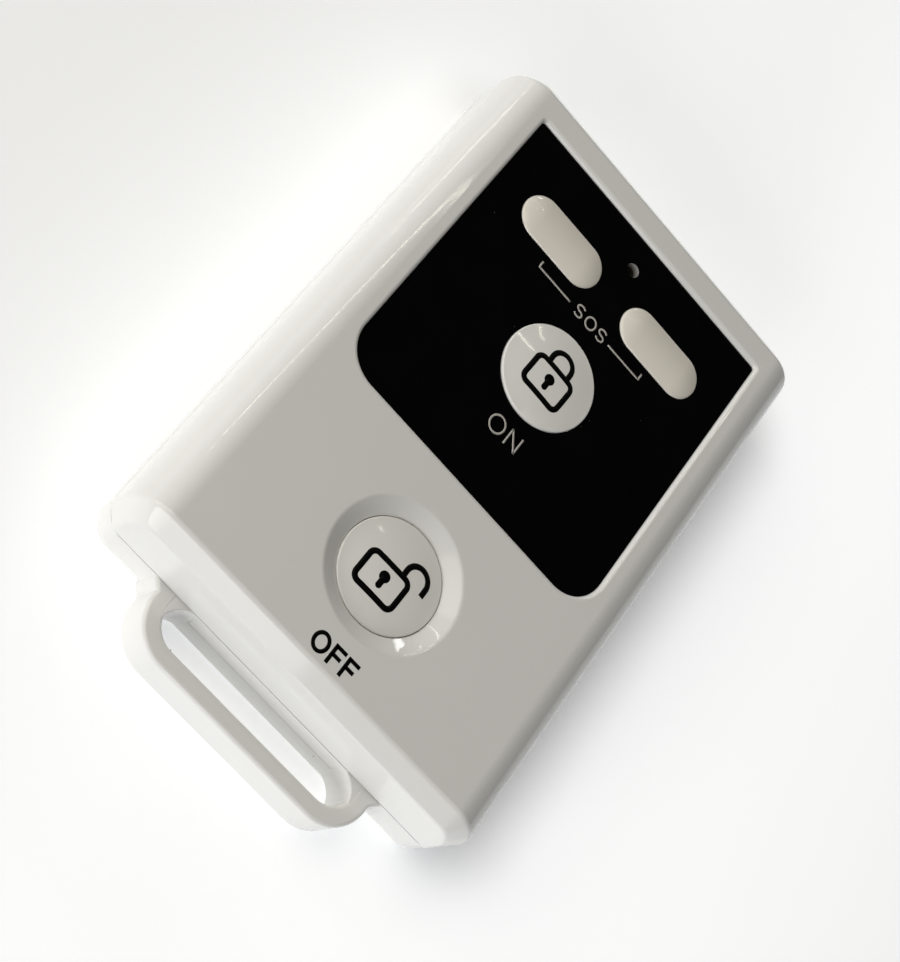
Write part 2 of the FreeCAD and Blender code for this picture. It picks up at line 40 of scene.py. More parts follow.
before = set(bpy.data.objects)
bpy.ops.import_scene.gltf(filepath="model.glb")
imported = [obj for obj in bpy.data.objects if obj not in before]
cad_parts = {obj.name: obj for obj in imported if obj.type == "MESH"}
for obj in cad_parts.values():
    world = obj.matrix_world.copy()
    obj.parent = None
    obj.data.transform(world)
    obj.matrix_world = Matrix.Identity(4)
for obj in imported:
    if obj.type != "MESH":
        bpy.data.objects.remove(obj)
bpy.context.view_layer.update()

MM = 0.001
MERGE_DISTANCE = 0.5e-6
SMOOTH_ANGLE = 32


def box_centre(node):
    """Middle of a CAD node's box."""
    low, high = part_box(node)
    return (low + high) / 2


PANEL_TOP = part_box("overlay_panel")[1].z
FACE_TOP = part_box("front_case")[1].z


# Settings

class RemoteFinishes(bpy.types.PropertyGroup):
    """Colours and gloss of the visible plastics and inks."""

    case_colour: bpy.props.FloatVectorProperty(
        name="Case colour", description="Warm white of the two case halves",
        subtype="COLOR", size=3, min=0, max=1, default=(0.815, 0.81, 0.79))
    case_roughness: bpy.props.FloatProperty(
        name="Case roughness", description="Gloss of the moulded case",
        min=0, max=1, default=0.07)
    button_colour: bpy.props.FloatVectorProperty(
        name="Button colour", description="Polished white of the ON and OFF buttons",
        subtype="COLOR", size=3, min=0, max=1, default=(0.86, 0.85, 0.82))
    sos_colour: bpy.props.FloatVectorProperty(
        name="SOS colour", description="Slightly yellowed white of the two SOS buttons",
        subtype="COLOR", size=3, min=0, max=1, default=(0.83, 0.79, 0.715))
    button_roughness: bpy.props.FloatProperty(
        name="Button roughness", description="Gloss of the polished buttons",
        min=0, max=1, default=0.06)
    panel_colour: bpy.props.FloatVectorProperty(
        name="Panel colour", description="Black of the glossy panel",
        subtype="COLOR", size=3, min=0, max=1, default=(0.0015, 0.0015, 0.0016))
    black_ink: bpy.props.FloatVectorProperty(
        name="Black ink", description="Padlocks and OFF",
        subtype="COLOR", size=3, min=0, max=1, default=(0.0022, 0.0021, 0.0020))
    pale_ink: bpy.props.FloatVectorProperty(
        name="Pale ink", description="ON, SOS and the bracket on the panel",
        subtype="COLOR", size=3, min=0, max=1, default=(0.50, 0.48, 0.45))


class RemotePrints(bpy.types.PropertyGroup):
    """Sizes of the printed symbols and letters."""

    ink_height: bpy.props.FloatProperty(
        name="Ink height", description="How far print stands over its surface",
        unit="LENGTH", min=0, default=0.008 * MM)
    ink_depth: bpy.props.FloatProperty(
        name="Ink depth", description="How far print reaches into its surface",
        unit="LENGTH", min=0, default=0.03 * MM)
    padlock_width: bpy.props.FloatProperty(
        name="Padlock width", description="Width of the padlock's body over its outline",
        unit="LENGTH", min=0, default=4.85 * MM)
    padlock_height: bpy.props.FloatProperty(
        name="Padlock height", description="Height of the padlock's body over its outline",
        unit="LENGTH", min=0, default=3.75 * MM)
    padlock_stroke: bpy.props.FloatProperty(
        name="Padlock line", description="Width of the padlock's printed line",
        unit="LENGTH", min=0, default=0.54 * MM)
    shackle_radius: bpy.props.FloatProperty(
        name="Shackle radius", description="Radius of the shackle's centre line",
        unit="LENGTH", min=0, default=1.16 * MM)
    on_stroke: bpy.props.FloatProperty(
        name="ON line", description="Width of the line of ON",
        unit="LENGTH", min=0, default=0.19 * MM)
    sos_stroke: bpy.props.FloatProperty(
        name="SOS line", description="Width of the line of SOS and of its bracket",
        unit="LENGTH", min=0, default=0.19 * MM)
    off_stroke: bpy.props.FloatProperty(
        name="OFF line", description="Width of the bold line of OFF",
        unit="LENGTH", min=0, default=0.36 * MM)


class RemoteStudio(bpy.types.PropertyGroup):
    """Camera, floor and lights."""

    camera_place: bpy.props.FloatVectorProperty(
        name="Camera place", description="Where the camera stands",
        subtype="TRANSLATION", unit="LENGTH", size=3, default=(-0.04533, -0.10018, 0.15656))
    camera_turn: bpy.props.FloatVectorProperty(
        name="Camera turn", description="Rotation of the camera",
        subtype="EULER", unit="ROTATION", size=3, default=(0.26045, -0.57311, 0.67953))
    camera_lens: bpy.props.FloatProperty(
        name="Lens", description="Focal length for a 36 mm sensor",
        min=1, default=86.38)
    floor_size: bpy.props.FloatProperty(
        name="Floor size", description="Side of the square floor",
        unit="LENGTH", min=0.1, default=12.0)
    floor_glow: bpy.props.FloatProperty(
        name="Floor glow", description="Light that the floor itself sends up",
        min=0, default=0.55)
    key_power: bpy.props.FloatProperty(
        name="Key light", description="Power of the softbox over the left side",
        unit="POWER", min=0, default=0.58)
    window_glow: bpy.props.FloatProperty(
        name="Window glow", description="Brightness of the low window behind the left side",
        min=0, default=0.93)
    front_power: bpy.props.FloatProperty(
        name="Front light", description="Power of the low softbox before the strap loop",
        unit="POWER", min=0, default=1.9)
    tube_power: bpy.props.FloatProperty(
        name="Tube light", description="Power of the near ceiling tube",
        unit="POWER", min=0, default=0.95)
    dish_power: bpy.props.FloatProperty(
        name="Dish light", description="Power of the small softbox that shows in the dish round OFF",
        unit="POWER", min=0, default=0.28)
    key_colour: bpy.props.FloatVectorProperty(
        name="Key colour", description="Warm white of the softbox over the left side",
        subtype="COLOR", size=3, min=0, max=1, default=(1.0, 0.935, 0.80))
    tube_colour: bpy.props.FloatVectorProperty(
        name="Tube colour", description="Warm white of the ceiling tubes",
        subtype="COLOR", size=3, min=0, max=1, default=(1.0, 0.93, 0.80))


# Mesh tools

def deselect_all():
    for item in bpy.context.selected_objects:
        item.select_set(False)


def make_active(piece):
    deselect_all()
    piece.select_set(True)
    bpy.context.view_layer.objects.active = piece


def apply_modifiers(piece):
    make_active(piece)
    for modifier in list(piece.modifiers):
        bpy.ops.object.modifier_apply(modifier=modifier.name)


def apply_place(piece):
    make_active(piece)
    bpy.ops.object.transform_apply(location=True, rotation=True, scale=True)


def smooth_by_angle(piece, degrees):
    """Smooth shading with sharp edges past an angle, large faces kept flat."""
    make_active(piece)
    bpy.ops.object.shade_smooth_by_angle(angle=math.radians(degrees))
    weighted = piece.modifiers.new("Even normals", "WEIGHTED_NORMAL")
    weighted.keep_sharp = True
    apply_modifiers(piece)


def dressed_node(node, name, body, degrees=SMOOTH_ANGLE):
    """A merged, smooth copy of a CAD node that stands in its place."""
    piece = bpy.data.objects.new(name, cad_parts[node].data.copy())
    bpy.context.scene.collection.objects.link(piece)
    make_active(piece)
    bpy.ops.mesh.customdata_custom_splitnormals_clear()
    bpy.ops.object.mode_set(mode="EDIT")
    bpy.ops.mesh.select_all(action="SELECT")
    bpy.ops.mesh.remove_doubles(threshold=MERGE_DISTANCE)
    bpy.ops.object.mode_set(mode="OBJECT")
    smooth_by_angle(piece, degrees)
    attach(piece, body)
    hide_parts(node)
    return piece


def true_shoulders(piece):
    """Give the elliptical shoulders of the front case their exact normals."""
    mesh = piece.data
    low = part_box("front_case")[0]
    half_width = -low.x
    across = 3.6 * MM
    down = 4.2 * MM
    past_ends = 0.001
    off_ellipse = 0.004
    same_side = 0.97
    spring = FACE_TOP - down
    normals = [Vector(corner.vector) for corner in mesh.corner_normals]
    for face in mesh.polygons:
        for index in face.loop_indices:
            place = mesh.vertices[mesh.loops[index].vertex_index].co
            side = math.copysign(1, place.x)
            x = (abs(place.x) - half_width + across) / across
            z = (place.z - spring) / down
            if min(x, z) < -past_ends or abs(math.hypot(x, z) - 1) > off_ellipse:
                continue
            normal = Vector((side * x / across, 0, z / down)).normalized()
            if normal.dot(face.normal) > same_side:
                normals[index] = normal
    mesh.normals_split_custom_set(normals)


def set_material(piece, material):
    piece.data.materials.clear()
    piece.data.materials.append(material)


def line_profile(width, height, depth):
    """Cross-section of a printed line, as a closed flat curve."""
    curve = bpy.data.curves.new("line_profile", "CURVE")
    curve.dimensions = "2D"
    spline = curve.splines.new("POLY")
    spline.points.add(3)
    corners = ((-width / 2, -depth), (width / 2, -depth), (width / 2, height), (-width / 2, height))
    for point, (x, y) in zip(spline.points, corners):
        point.co = (x, y, 0, 1)
    spline.use_cyclic_u = True
    profile = bpy.data.objects.new("line_profile", curve)
    bpy.context.scene.collection.objects.link(profile)
    return profile


def stepped(corners, closed):
    """Points no more than a step apart along straight runs, so that print can follow a crown."""
    step = 0.3 * MM
    points = []
    ends = corners[1:] + (corners[:1] if closed else [])
    for start, end in zip(corners, ends):
        count = max(1, math.ceil(math.dist(start, end) / step))
        for i in range(count):
            t = i / count
            points.append((start[0] + (end[0] - start[0]) * t, start[1] + (end[1] - start[1]) * t))
    if not closed:
        points.append(corners[-1])
    return points


def printed_lines(name, lines, width, level):
    """Mesh of printed lines: each is (points in metres, closed), flat at one level."""
    prints = bpy.context.scene.remote_prints
    profile = line_profile(width, prints.ink_height, prints.ink_depth)
    curve = bpy.data.curves.new(name, "CURVE")
    curve.dimensions = "3D"
    curve.twist_mode = "Z_UP"
    curve.bevel_mode = "OBJECT"
    curve.bevel_object = profile
    curve.use_fill_caps = True
    for corners, closed in lines:
        points = stepped(corners, closed)
        spline = curve.splines.new("POLY")
        spline.points.add(len(points) - 1)
        for point, (x, y) in zip(spline.points, points):
            point.co = (x, y, level, 1)
        spline.use_cyclic_u = closed
    piece = bpy.data.objects.new(name, curve)
    bpy.context.scene.collection.objects.link(piece)
    make_active(piece)
    bpy.ops.object.convert(target="MESH")
    piece = bpy.context.view_layer.objects.active
    bpy.data.objects.remove(profile)
    make_active(piece)
    bpy.ops.object.mode_set(mode="EDIT")
    bpy.ops.mesh.select_all(action="SELECT")
    bpy.ops.mesh.remove_doubles(threshold=MERGE_DISTANCE)
    bpy.ops.mesh.normals_make_consistent(inside=False)
    bpy.ops.object.mode_set(mode="OBJECT")
    return piece


def arc(centre, radius, start, end, steps, squash=1.0):
    """Points along an arc; angles in degrees, squash is its height over its width."""
    points = []
    for i in range(steps + 1):
        angle = math.radians(start + (end - start) * i / steps)
        x = centre[0] + radius * math.cos(angle)
        y = centre[1] + radius * squash * math.sin(angle)
        points.append((x, y))
    return points


def ring(centre, radius, steps, squash=1.0):
    """Points round a whole circle or ellipse, the first not repeated."""
    return arc(centre, radius, 0, 360, steps, squash)[:-1]


def rounded_rectangle(centre, width, height, corner):
    """Points round a rectangle with rounded corners."""
    hx = width / 2 - corner
    hy = height / 2 - corner
    points = []
    for sx, sy, start in ((1, 1, 0), (-1, 1, 90), (-1, -1, 180), (1, -1, 270)):
        middle = (centre[0] + sx * hx, centre[1] + sy * hy)
        points += arc(middle, corner, start, start + 90, steps=8)
    return points


def flat_disc(name, centre, radius, level, vertices=32):
    """Printed dot, a thin closed disc."""
    prints = bpy.context.scene.remote_prints
    height = prints.ink_height + prints.ink_depth
    middle = level + (prints.ink_height - prints.ink_depth) / 2
    deselect_all()
    bpy.ops.mesh.primitive_cylinder_add(
        vertices=vertices, radius=radius, depth=height, location=(centre[0], centre[1], middle))
    piece = bpy.context.active_object
    piece.name = name
    apply_place(piece)
    return piece


def join(pieces, name):
    """One object from several."""
    make_active(pieces[0])
    for piece in pieces:
        piece.select_set(True)
    bpy.ops.object.join()
    joined = bpy.context.active_object
    joined.name = name
    joined.data.name = name
    return joined


def turned(points, centre, degrees):
    """Points turned about a centre."""
    c = math.cos(math.radians(degrees))
    s = math.sin(math.radians(degrees))
    return [
        (centre[0] + c * (x - centre[0]) - s * (y - centre[1]),
         centre[1] + s * (x - centre[0]) + c * (y - centre[1]))
        for x, y in points
    ]


def lay_on_crown(piece, centre, chord, crown):
    """Lower flat print on to the round crown of a button."""
    radius = (chord ** 2 + crown ** 2) / (2 * crown)
    for vertex in piece.data.vertices:
        away = math.hypot(vertex.co.x - centre.x, vertex.co.y - centre.y)
        vertex.co.z -= radius - math.sqrt(radius ** 2 - away ** 2)
    piece.data.update()


# Materials

def new_material(name):
    material = bpy.data.materials.new(name)
    material.use_nodes = True
    nodes = material.node_tree.nodes
    links = material.node_tree.links
    shader = nodes["Principled BSDF"]
    return material, nodes, links, shader


def noise(nodes, links, scale, detail=2.0, roughness=0.5):
    """Noise value on the object's own coordinates."""
    place = nodes.new("ShaderNodeTexCoord")
    texture = nodes.new("ShaderNodeTexNoise")
    texture.inputs["Scale"].default_value = scale
    texture.inputs["Detail"].default_value = detail
    texture.inputs["Roughness"].default_value = roughness
    links.new(place.outputs["Object"], texture.inputs["Vector"])
    return texture.outputs["Fac"]


def map_range(nodes, links, value, start, end, low, high, soft=False):
    """Map one range on to another, straight or with soft ends."""
    node = nodes.new("ShaderNodeMapRange")
    if soft:
        node.interpolation_type = "SMOOTHSTEP"
    node.inputs["From Min"].default_value = start
    node.inputs["From Max"].default_value = end
    node.inputs["To Min"].default_value = low
    node.inputs["To Max"].default_value = high
    links.new(value, node.inputs["Value"])
    return node.outputs["Result"]


def spread(nodes, links, value, low, high):
    """Map the usual range of a noise value on to a range."""
    return map_range(nodes, links, value, start=0.3, end=0.7, low=low, high=high)


def math_node(nodes, links, operation, first, second):
    """Math node of two values, each a socket or a number."""
    node = nodes.new("ShaderNodeMath")
    node.operation = operation
    for socket, value in zip(node.inputs, (first, second)):
        if isinstance(value, (int, float)):
            socket.default_value = value
        else:
            links.new(value, socket)
    return node.outputs["Value"]


def along_direction(nodes, links, vector, direction):
    """How far a vector points along a direction."""
    node = nodes.new("ShaderNodeVectorMath")
    node.operation = "DOT_PRODUCT"
    node.inputs[1].default_value = direction
    links.new(vector, node.inputs[0])
    return node.outputs["Value"]


def tone(nodes, links, value, colour, change):
    """Colour that drifts a little lighter and darker with a noise value."""
    mix = nodes.new("ShaderNodeMix")
    mix.data_type = "RGBA"
    mix.inputs["A"].default_value = [c * (1 - change) for c in colour] + [1]
    mix.inputs["B"].default_value = [min(1.0, c * (1 + change)) for c in colour] + [1]
    links.new(spread(nodes, links, value, low=0, high=1), mix.inputs["Factor"])
    return mix.outputs["Result"]


def bump(nodes, links, value, distance, strength):
    """Fine relief from a noise value."""
    node = nodes.new("ShaderNodeBump")
    node.inputs["Distance"].default_value = distance
    node.inputs["Strength"].default_value = strength
    links.new(value, node.inputs["Height"])
    return node.outputs["Normal"]


def moulded_plastic(name, colour, roughness, change=0.012, ripple=2.5e-6):
    """Injection-moulded plastic: faint flow tone, uneven satin and a very soft ripple."""
    material, nodes, links, shader = new_material(name)
    flow = noise(nodes, links, scale=70, detail=3)
    grain = noise(nodes, links, scale=1400, detail=2)
    satin = noise(nodes, links, scale=260, detail=4)
    gloss = spread(nodes, links, satin, low=roughness * 0.7, high=roughness * 1.3)
    links.new(tone(nodes, links, flow, colour, change), shader.inputs["Base Color"])
    links.new(gloss, shader.inputs["Roughness"])
    links.new(bump(nodes, links, grain, ripple, strength=0.1), shader.inputs["Normal"])
    shader.inputs["IOR"].default_value = 1.5
    return material


def gloss_black(name, colour):
    """Glossy black sheet with faint handling marks in its gloss."""
    material, nodes, links, shader = new_material(name)
    smudge = noise(nodes, links, scale=160, detail=6, roughness=0.65)
    relief = bump(nodes, links, noise(nodes, links, scale=220), distance=1.2e-6, strength=0.2)
    links.new(tone(nodes, links, smudge, colour, change=0.25), shader.inputs["Base Color"])
    links.new(spread(nodes, links, smudge, low=0.04, high=0.11), shader.inputs["Roughness"])
    links.new(relief, shader.inputs["Normal"])
    shader.inputs["IOR"].default_value = 1.47
    return material


def ink(name, colour):
    """Screen-printed ink, slightly grainy and dull."""
    material, nodes, links, shader = new_material(name)
    grain = noise(nodes, links, scale=5200, detail=3)
    links.new(tone(nodes, links, grain, colour, change=0.10), shader.inputs["Base Color"])
    links.new(spread(nodes, links, grain, low=0.38, high=0.52), shader.inputs["Roughness"])
    shader.inputs["Specular IOR Level"].default_value = 0.04
    return material


def metal(name, colour, roughness):
    """Plated sheet metal with fine rolling marks."""
    material, nodes, links, shader = new_material(name)
    place = nodes.new("ShaderNodeTexCoord")
    stretch = nodes.new("ShaderNodeMapping")
    stretch.inputs["Scale"].default_value = (1.0, 14.0, 14.0)
    texture = nodes.new("ShaderNodeTexNoise")
    texture.inputs["Scale"].default_value = 420
    texture.inputs["Detail"].default_value = 4
    links.new(place.outputs["Object"], stretch.inputs["Vector"])
    links.new(stretch.outputs["Vector"], texture.inputs["Vector"])
    marks = texture.outputs["Fac"]
    gloss = spread(nodes, links, marks, low=roughness - 0.06, high=roughness + 0.08)
    relief = bump(nodes, links, marks, distance=2e-6, strength=0.3)
    links.new(tone(nodes, links, marks, colour, change=0.06), shader.inputs["Base Color"])
    links.new(gloss, shader.inputs["Roughness"])
    links.new(relief, shader.inputs["Normal"])
    shader.inputs["Metallic"].default_value = 1.0
    return material


def lamp_epoxy(name):
    """Lamp body, coloured near black as painted shade for the deep lamp hole."""
    material, nodes, links, shader = new_material(name)
    colour = (0.022, 0.021, 0.017)
    cloud = noise(nodes, links, scale=900, detail=2)
    links.new(tone(nodes, links, cloud, colour, change=0.05), shader.inputs["Base Color"])
    links.new(spread(nodes, links, cloud, low=0.25, high=0.35), shader.inputs["Roughness"])
    shader.inputs["Specular IOR Level"].default_value = 0.1
    return material


def laminate(name, colour):
    """Board laminate: solder mask over a woven glass cloth."""
    material, nodes, links, shader = new_material(name)
    place = nodes.new("ShaderNodeTexCoord")
    weave = nodes.new("ShaderNodeTexBrick")
    weave.inputs["Scale"].default_value = 900
    for socket, level in (("Color1", 0.9), ("Color2", 1.1), ("Mortar", 0.8)):
        weave.inputs[socket].default_value = (*[c * level for c in colour], 1)
    links.new(place.outputs["Object"], weave.inputs["Vector"])
    links.new(weave.outputs["Color"], shader.inputs["Base Color"])
    gloss = spread(nodes, links, noise(nodes, links, scale=500), low=0.30, high=0.42)
    links.new(gloss, shader.inputs["Roughness"])
    return material


def paint_lamp_hole_shading(piece, material):
    """Give the upright wall of the lamp hole in one piece a colour of its own that paints the light
    there: painted shade on the case, a painted reflection on the panel.
    """
    piece.data.materials.append(material)
    slot = len(piece.data.materials) - 1
    lamp = box_centre("status_led")
    reach = 0.9 * MM
    steepest_upright = 0.5
    for face in piece.data.polygons:
        beside = math.hypot(face.center.x - lamp.x, face.center.y - lamp.y) < reach
        if beside and abs(face.normal.z) < steepest_upright:
            face.material_index = slot


# Operators

class REMOTE_OT_front_case(bpy.types.Operator):
    """Front case with its convex sides, bevelled ends, panel recess and dished seat"""

    bl_idname = "remote.front_case"
    bl_label = "Front case"

    def execute(self, context):
        finishes = context.scene.remote_finishes
        piece = dressed_node("front_case", "front_shell", "case")
        true_shoulders(piece)
        set_material(piece, moulded_plastic(
            "front_case_plastic", finishes.case_colour, finishes.case_roughness))
        # Painted shade: the upright wall of the lamp hole is coloured near black to stand for the shade
        # deep in the hole.
        shade = moulded_plastic("black_hole_print", (0.055, 0.052, 0.042), roughness=0.5)
        paint_lamp_hole_shading(piece, shade)
        return {"FINISHED"}


class REMOTE_OT_rear_case(bpy.types.Operator):
    """Rear case with its strap loop"""

    bl_idname = "remote.rear_case"
    bl_label = "Rear case"

    slot_half_width = 10.85 * MM
    slot_corner = 2.4 * MM
    loop_end_to_wall = 5.3 * MM
    back_of_wall = 0.4 * MM
    top_of_straight = 2.6 * MM
    top_of_loop = 4.58 * MM
    rim_round = 0.4 * MM
    before_wall = 0.005 * MM
    into_wall = 0.9 * MM
    into_roots = 0.3 * MM
    hollow_length = 20 * MM

    def execute(self, context):
        finishes = context.scene.remote_finishes
        piece = dressed_node("rear_case", "rear_shell", "case")
        self.slot_wall(piece)
        set_material(piece, moulded_plastic(
            "rear_case_plastic", finishes.case_colour, finishes.case_roughness))
        return {"FINISHED"}

    def slot_wall(self, piece):
        """Carry the end wall straight down along the slot, and round the slot's corners at the wall."""
        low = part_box("rear_case")[0]
        wall_face = low.y + self.loop_end_to_wall
        back = low.z + self.back_of_wall
        straight = self.block(
            "straight_wall",
            (-self.slot_half_width, wall_face - self.before_wall, back),
            (self.slot_half_width, wall_face + self.into_wall, low.z + self.top_of_straight))
        fillets = [
            self.corner_fillet(side, wall_face, back, low.z + self.top_of_loop)
            for side in (-1, 1)
        ]
        for part in [straight] + fillets:
            self.combine(piece, part, "UNION")
        smooth_by_angle(piece, SMOOTH_ANGLE)

    def block(self, name, low, high):
        """Box between two corners."""
        middle = [(a + b) / 2 for a, b in zip(low, high)]
        size = [b - a for a, b in zip(low, high)]
        deselect_all()
        bpy.ops.mesh.primitive_cube_add(size=1, location=middle)
        piece = bpy.context.active_object
        piece.name = name
        piece.scale = size
        apply_place(piece)
        return piece

    def corner_fillet(self, side, wall_face, back, top):
        """Block in the slot's corner at the wall, hollowed by the corner's radius."""
        inner = side * (self.slot_half_width - self.slot_corner)
        outer = side * (self.slot_half_width + self.into_roots)
        fillet = self.block(
            "slot_corner",
            (min(inner, outer), wall_face - self.slot_corner, back),
            (max(inner, outer), wall_face + self.into_wall, top))
        deselect_all()
        bpy.ops.mesh.primitive_cylinder_add(
            vertices=96, radius=self.slot_corner, depth=self.hollow_length,
            location=(inner, wall_face - self.slot_corner, (back + top) / 2))
        hollow = bpy.context.active_object
        apply_place(hollow)
        self.combine(fillet, hollow, "DIFFERENCE")
        edge = fillet.modifiers.new("Rim", "BEVEL")
        edge.width = self.rim_round
        edge.segments = 4
        edge.limit_method = "ANGLE"
        edge.angle_limit = math.radians(60)
        apply_modifiers(fillet)
        return fillet

    def combine(self, piece, part, operation):
        """Join a part to a piece or cut it away, and delete the part."""
        modifier = piece.modifiers.new("Moulding", "BOOLEAN")
        modifier.operation = operation
        modifier.solver = "EXACT"
        modifier.object = part
        apply_modifiers(piece)
        bpy.data.objects.remove(part)


class REMOTE_OT_panel(bpy.types.Operator):
    """Glossy black panel sunk into the face"""

    bl_idname = "remote.panel"
    bl_label = "Black panel"

    def execute(self, context):
        finishes = context.scene.remote_finishes
        piece = dressed_node("overlay_panel", "panel_sheet", "case")
        set_material(piece, gloss_black("panel_gloss", finishes.panel_colour))
        # Painted reflection: the upright wall of the lamp hole in the black panel is pale grey to stand
        # for a lit reflection on it.
        hole_wall_reflection = moulded_plastic("acrylic_edge", (0.36, 0.35, 0.33), roughness=0.18)
        paint_lamp_hole_shading(piece, hole_wall_reflection)
        return {"FINISHED"}


class REMOTE_OT_buttons(bpy.types.Operator):
    """Two round caps and two long SOS caps"""

    bl_idname = "remote.buttons"
    bl_label = "Buttons"

    def execute(self, context):
        finishes = context.scene.remote_finishes
        white = moulded_plastic(
            "button_plastic", finishes.button_colour, finishes.button_roughness, ripple=1.2e-6)
        yellowed = moulded_plastic(
            "sos_button_plastic", finishes.sos_colour, finishes.button_roughness, ripple=1.2e-6)
        for node, name, body, plastic in (
            ("arm_button", "arm_cap", "arm_key", white),
            ("disarm_button", "disarm_cap", "disarm_key", white),
            ("sos_button_left", "sos_cap_left", "sos_key_left", yellowed),
            ("sos_button_right", "sos_cap_right", "sos_key_right", yellowed),
        ):
            piece = dressed_node(node, name, body, degrees=40)
            set_material(piece, plastic)
        return {"FINISHED"}


class REMOTE_OT_padlocks(bpy.types.Operator):
    """Closed padlock on the upper round button, open padlock on the lower one"""

    bl_idname = "remote.padlocks"
    bl_label = "Padlock prints"

    keyhole_radius = 0.53 * MM
    stem_length = 0.90 * MM
    stem_width = 0.58 * MM
    stem_end_radius = 0.30 * MM
    body_corner = 0.62 * MM
    crown_height = 0.4 * MM
    closed_body_lean = -1.2

    def keyhole(self, centre, level, name):
        """Round hole with a stem below it."""
        foot = (centre[0], centre[1] - self.stem_length)
        dot = flat_disc(name + "_dot", centre, self.keyhole_radius, level)
        stem = printed_lines(name + "_stem", [([centre, foot], False)], self.stem_width, level)
        end = flat_disc(name + "_end", foot, self.stem_end_radius, level, vertices=20)
        return [dot, stem, end]

    def shackle(self, spring, radius, right_foot, left_foot):
        """Centre line of a shackle from its right foot over the top to its left foot."""
        right = (spring[0] + radius, right_foot)
        left = (spring[0] - radius, left_foot)
        return [right] + arc(spring, radius, 0, 180, steps=24) + [left]

    def finish_print(self, parts, name, button, body, material, chord):
        """Join a padlock's parts, lay them on the button and let them ride with it."""
        piece = join(parts, name)
        lay_on_crown(piece, box_centre(button), chord, self.crown_height)
        set_material(piece, material)
        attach(piece, body)

    def execute(self, context):
        prints = context.scene.remote_prints
        material = ink("padlock_ink", context.scene.remote_finishes.black_ink)
        stroke = prints.padlock_stroke
        width = prints.padlock_width - stroke
        height = prints.padlock_height - stroke
        radius = prints.shackle_radius

        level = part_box("arm_button")[1].z
        body = (0.03 * MM, 9.02 * MM)
        hole = (0.02 * MM, 9.30 * MM)
        spring = (0.12 * MM, 11.38 * MM)
        feet = 10.7 * MM
        outline = rounded_rectangle(body, width, height, self.body_corner)
        lines = [
            (turned(outline, body, self.closed_body_lean), True),
            (self.shackle(spring, radius, feet, feet), False),
        ]
        closed = printed_lines("closed_padlock", lines, stroke, level)
        parts = [closed] + self.keyhole(hole, level, "closed_keyhole")
        self.finish_print(parts, "closed_padlock", "arm_button", "arm_key", material, chord=4.75 * MM)

        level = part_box("disarm_button")[1].z
        body = (-0.51 * MM, -16.27 * MM)
        hole = (-0.47 * MM, -15.92 * MM)
        spring = (1.86 * MM, -13.94 * MM)
        open_foot = -14.71 * MM
        held_foot = -14.59 * MM
        lines = [
            (rounded_rectangle(body, width, height, self.body_corner), True),
            (self.shackle(spring, radius, open_foot, held_foot), False),
        ]
        opened = printed_lines("open_padlock", lines, stroke, level)
        parts = [opened] + self.keyhole(hole, level, "open_keyhole")
        self.finish_print(
            parts, "open_padlock", "disarm_button", "disarm_key", material, chord=4.85 * MM)
        return {"FINISHED"}


